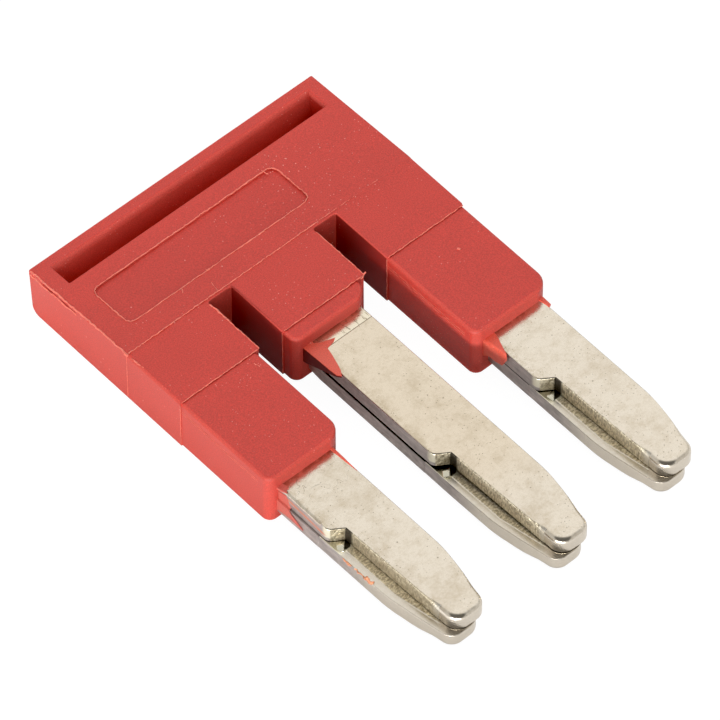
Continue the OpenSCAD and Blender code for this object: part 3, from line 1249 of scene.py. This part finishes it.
def softened(piece, width):
    """Cleans a piece of flash and rounds its edges."""
    cleaned(piece)
    round_sharp(piece, width, 2)
    smoothed(piece, sharp_turn)
    return piece


def tongue(name, outline, drop, rows=5, fold=None, falls=()):
    """A tongue of flash, thickest at its root, the end with the highest y.

    It may be cut along x at a fold, and the points named in falls, as (x, y, fall), go down.
    """
    piece = slab(name, [(x, y, tongue_top) for x, y in outline], (0, 0, -drop))
    root = max(y for x, y in outline)
    end = min(y for x, y in outline)
    for number in range(rows):
        row = root + (end - root) * (number + 0.5) / rows
        move(piece, lambda p: p.z < tongue_top - TINY and p.y < row, (0, 0, thinning * drop / rows))
    if fold:
        slice_at(piece, X, fold)
    slice_at(piece, Y, *[y for x, y, fall in falls[:-1]])
    for x, y, fall in falls:
        move(piece, lambda p: lies(p, p, X, x) and lies(p, p, Y, y), (0, 0, -fall))
    return softened(piece, tongue_soft)


middle_wedge = tongue("middle_wedge", [
    (-1.62, 2.00), (-1.60, 1.89), (-1.57, 1.10), (-1.55, 0.40), (-1.52, 0.06), (-1.40, -0.10),
    (-1.25, 0.12), (-1.15, 0.39), (-0.99, 0.92), (-0.92, 1.24), (-0.56, 1.31), (-0.38, 1.43),
    (-0.57, 1.49), (-0.97, 1.63), (-1.15, 1.75), (-1.10, 2.00),
], 0.85)
right_tongue = tongue("right_tongue", [
    (3.59, root_y), (3.62, -2.65), (3.65, -3.00), (3.70, -3.30), (right_fold, -3.50), (3.84, -3.38),
    (4.02, -2.87), (4.16, -2.49), (4.20, root_y),
], 1.0, fold=right_fold, falls=right_falls)
far_tongue = tongue("far_tongue", [
    (6.40, root_y), (6.48, -2.60), (6.50, -2.84), (6.64, -2.76), (6.66, root_y),
], 0.30)
left_sliver = tongue("left_sliver", [
    (-3.98, root_y), (-3.93, -3.05), (-3.88, -3.76), (-3.84, -3.00), (-3.82, root_y),
], 0.30)
left_flap = tongue("left_flap", [
    (-6.62, root_y), (-6.58, -2.50), (-6.50, -2.80), (-6.38, -2.66), (-6.30, -2.70), (-6.28, -2.52),
    (-6.34, root_y),
], 0.16, rows=2)
tongues = joined("flash_tongues", [middle_wedge, right_tongue, far_tongue, left_sliver])
dressed(tongues, flash_red, flash_shade_red)
# painted shade: the left side of the middle wedge gets a near-black red
paint(tongues, FLASH_SHADE, lambda m, n: n.x < -0.4 and n.z < 0.3 and abs(m.x) < pitch / 2)
finished(tongues, "housing_plastic")

# %% [markdown]
# On the left blade the plastic also spread as a thin wing over the walls of both leaves, and further out
# a few dabs stuck in the gap between them.

# %% Wing and smears on the left blade
left_wall = -pitch - blade_half + lower_shift
upper_wall = -pitch - blade_half + upper_shift
wing_soft = 0.012
wing_lap = 0.02
dab_z = 1.14
film_end = -4
FILM = 1
wing_outline = [
    (-2.20, 1.58), (-2.50, 1.66), (-2.76, 1.74), (-2.90, 1.45), (-3.00, 1.22), (-3.14, 1.02), (-3.45, 0.88),
    (-3.80, 0.70), (-3.52, 0.68), (-3.06, 0.72), (-2.62, 0.64), (-2.20, 0.60),
]


def wing(name, x, outline, thick):
    """A thin sheet of flash on the walls of both leaves, bent where the upper one stands back."""
    piece = slab(name, [(x, y, z) for y, z in outline], (-thick, 0, 0))
    slice_at(piece, Z, lower_high.z + close_gap + wing_lap, upper_low.z + wing_lap)
    move(piece, lambda p: p.z > upper_low.z + wing_lap - TINY, (upper_wall - left_wall, 0, 0))
    return softened(piece, wing_soft)


smears = [
    wing("left_wing", left_wall + 0.01, wing_outline, 0.03),
    left_flap,
    straight((left_wall + 0.02, -5.97, dab_z), (left_wall + 0.02, -6.40, dab_z), 0.05, 0.03, 54),
    straight((left_wall + 0.03, -6.60, dab_z), (left_wall + 0.04, -7.20, dab_z), 0.06, 0.03, 55),
    straight((left_wall + 0.06, -7.15, dab_z), (left_wall + 0.14, -7.55, dab_z), 0.13, 0.04, 56),
]
smeared = joined("flash_smears", smears)
dressed(smeared, flash_amber, flash_film)
paint(smeared, FILM, lambda m, n: m.y > film_end)
finished(smeared, "housing_plastic")

# %% [markdown]
# ## Burrs
# Where the punch turned the corner of the step, it left a small square burr on the lower leaf. It is a
# cube on its corner, sunk into the leaf, and copied to the three blades. The right one sits deeper.

# %% Burrs at the shoulders
burr_size = 0.32
burr_place = Vector((-1.07, shoulder_end - 0.16, lower_high.z - 0.06))
burr_turn = (0.35, -0.30, -0.75)
burr_sink = 0.03
take(None)
bpy.ops.mesh.primitive_cube_add(size=burr_size, location=burr_place, rotation=burr_turn)
burr = placed(bpy.context.object)
round_sharp(burr, 0.05, 3)
drops = (0.0, close_gap - spread, -right_gap - burr_sink)
burrs = [copied(burr, "burr_copy", (x, 0, drop)) for x, drop in zip(blade_places, drops)]
take(burr)
bpy.ops.object.delete()
shoulder_burrs = joined("shoulder_burrs", burrs)
smoothed(shoulder_burrs)
finished(dressed(shoulder_burrs, comb_finishes[LEDGE]), "plated_metal")

# %% [markdown]
# ## Stage
# The camera sees a pale floor as almost white. The floor throws little light back onto the plastic, but
# the metal mirrors it bright, most of all at the left of the part.

# %% Floor
FLOOR_LIFT = 0.90
FLOOR_GLOW = 1.06
POOL_GLOW = 0.35
PAPER_TONE = (0.9, 0.9, 0.9)
SHADE_TONE = (0.25, 0.25, 0.25)
WHITE = (1, 1, 1)
pool_edge = 2
floor_size = 3
floor_drop = 0.005 * MM


def floor_finish():
    material, pen, place = new_finish("pale_floor")
    paper = pen.node("BsdfDiffuse", {"Color": colour(PAPER_TONE)})
    shade = pen.node("BsdfDiffuse", {"Color": colour(SHADE_TONE)})
    glow = pen.node("Emission", {"Color": colour(WHITE), "Strength": FLOOR_GLOW})
    seen = pen.node("LightPath", output="Is Camera Ray")
    lit = pen.node("LightPath", output="Is Diffuse Ray")
    pool = axes(place)[X].between(-half_width, -half_width - pool_edge)
    haze = pen.node("Emission", {"Color": colour(WHITE), "Strength": POOL_GLOW * pool})
    bright = pen.node("AddShader", {0: paper, 1: haze})
    ground = pen.node("MixShader", {0: lit, 1: bright, 2: shade})
    surface = pen.node("MixShader", {0: FLOOR_LIFT * seen, 1: ground, 2: glow})
    pen.node("OutputMaterial", {"Surface": surface})
    return material


take(None)
bpy.ops.mesh.primitive_plane_add(size=floor_size, location=(0, 0, -floor_drop))
floor = bpy.context.object
floor.name = "floor"
floor.data.materials.append(floor_finish())
print("floor ready")

# %% [markdown]
# The sky is a white tent of light. It is brighter at the back right, which the tops of the blades mirror,
# and at the front left, and darker towards the camera. One long low strip light stands at the front left.

# %% World and light
BLACK_LEVEL = 0.006
world = bpy.data.worlds.new("tent")
bpy.context.scene.world = world
world.use_nodes = True
world.node_tree.nodes.clear()
sky = Wire(world.node_tree)
direction = sky.node("TexCoord", output="Generated")
mirrored = (0.404, 0.457, 0.792)
front_left = (-0.60, -0.74, 0.30)
camera_side = tuple(towards_camera)


def facing(axis):
    return sky.node("VectorMath", {0: direction, 1: axis}, output="Value", operation="DOT_PRODUCT")


bright_side = facing(mirrored).between(0.50, 0.88)
front_side = facing(front_left).between(0.50, 0.95)
shaded_side = facing(camera_side).between(0.62, 0.80)
soft = 0.30 + 1.36 * bright_side + 1.75 * front_side - 0.27 * facing(camera_side).between(0.35, 0.80)
tent = 0.72 + 0.36 * bright_side - 0.58 * shaded_side
glossy = sky.node("LightPath", output="Is Glossy Ray")
strength = soft + glossy * (tent - soft)
backdrop = sky.node("Background", {"Color": colour(WHITE), "Strength": strength})
sky.node("OutputWorld", {"Surface": backdrop})

softbox_data = bpy.data.lights.new("softbox", "AREA")
softbox_data.shape = "RECTANGLE"
softbox_data.size = 0.34
softbox_data.size_y = 0.035
softbox_data.energy = 1.36
softbox = bpy.data.objects.new("softbox", softbox_data)
bpy.context.scene.collection.objects.link(softbox)
softbox.location = (-0.315, -0.229, 0.022)
softbox.rotation_euler = (-softbox.location).to_track_quat("-Z", "Y").to_euler()

view = bpy.context.scene.view_settings
view.view_transform = "Standard"
view.use_curve_mapping = True
view.curve_mapping.black_level = [BLACK_LEVEL] * 3
view.curve_mapping.update()
print("stage ready")
